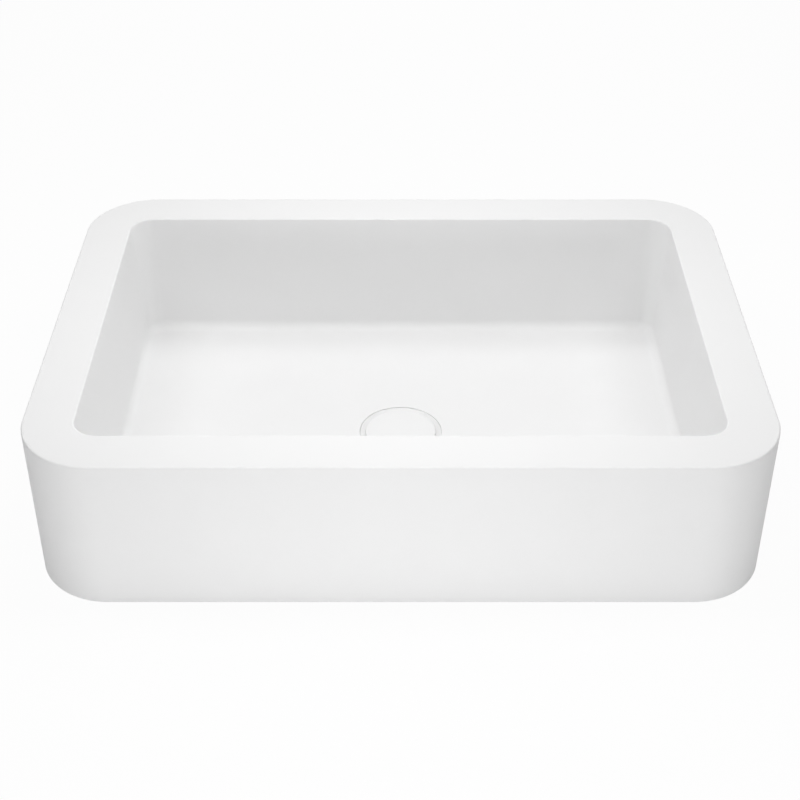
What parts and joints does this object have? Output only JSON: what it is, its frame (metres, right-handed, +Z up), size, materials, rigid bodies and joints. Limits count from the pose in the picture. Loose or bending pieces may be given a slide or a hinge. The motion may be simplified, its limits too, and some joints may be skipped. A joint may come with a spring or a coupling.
{
  "type": "countertop basin",
  "caption": "Rectangular countertop basin of matte white cast stone with rounded corners, a wide flat rim and a click waste under a round cover.",
  "frame": {"origin": "centre of the base, on the plane of the countertop that the basin stands on", "axes": "+X along the basin's length, +Y from its front to its back, +Z up out of the bowl"},
  "size_m": [0.58, 0.415, 0.1911],
  "materials": {
    "cast_stone": "matte",
    "seal_rubber": "matte",
    "coated_brass": "matte",
    "brass": "satin",
    "nylon": "satin",
    "acetal": "satin",
    "spring_steel": "satin",
    "satin_steel": "satin"
  },
  "bodies": {
    "basin_and_waste": {"basin": "cast_stone", "flange_gasket": "seal_rubber", "waste_body": "coated_brass", "lower_gasket": "seal_rubber", "slip_washer": "nylon", "lock_nut": "brass", "cartridge_housing": "brass", "stem_guide": "brass", "stem_seal": "seal_rubber", "return_spring": "spring_steel", "base_plug": "brass"},
    "cover": {"drain_cover": "cast_stone", "cover_carrier": "satin_steel", "cover_seal": "seal_rubber", "height_nut": "brass", "plunger": "brass", "click_rotor": "acetal"}
  },
  "joints": [
    {"name": "cover_lift", "type": "slide", "parent": "basin_and_waste", "child": "cover", "axis": [0, 0, 1], "range_m": [0, 0.009], "deforming": ["return_spring"]}
  ]
}
